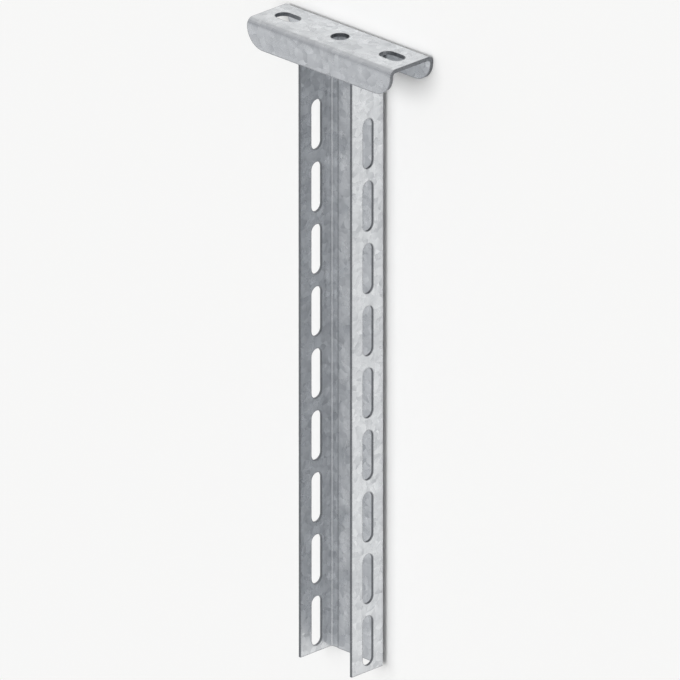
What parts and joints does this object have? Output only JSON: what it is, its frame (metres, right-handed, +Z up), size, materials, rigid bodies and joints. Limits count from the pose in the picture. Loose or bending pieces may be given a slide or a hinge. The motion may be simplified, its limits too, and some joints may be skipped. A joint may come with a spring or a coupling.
{
  "type": "cable tray ceiling hanger",
  "caption": "Slotted U-profile post welded under a short bent head channel that bolts to a ceiling, for hanging cable trays.",
  "frame": {"origin": "on the floor, midway along the length and the width, with the hanger lying on its back", "axes": "+Y along the post from its free end to the ceiling face, +Z up out of the open side of the post, +X across the flanges"},
  "size_m": [0.15, 0.503, 0.045],
  "materials": {
    "post_zinc": "hot-dip galvanised, with a fine spangle",
    "head_zinc": "hot-dip galvanised, with a fine spangle",
    "weld_zinc": "weld bead under the same zinc coat"
  },
  "bodies": {
    "root": {"slotted_post": "post_zinc", "head_channel": "head_zinc", "weld_left": "weld_zinc", "weld_right": "weld_zinc"}
  },
  "joints": []
}
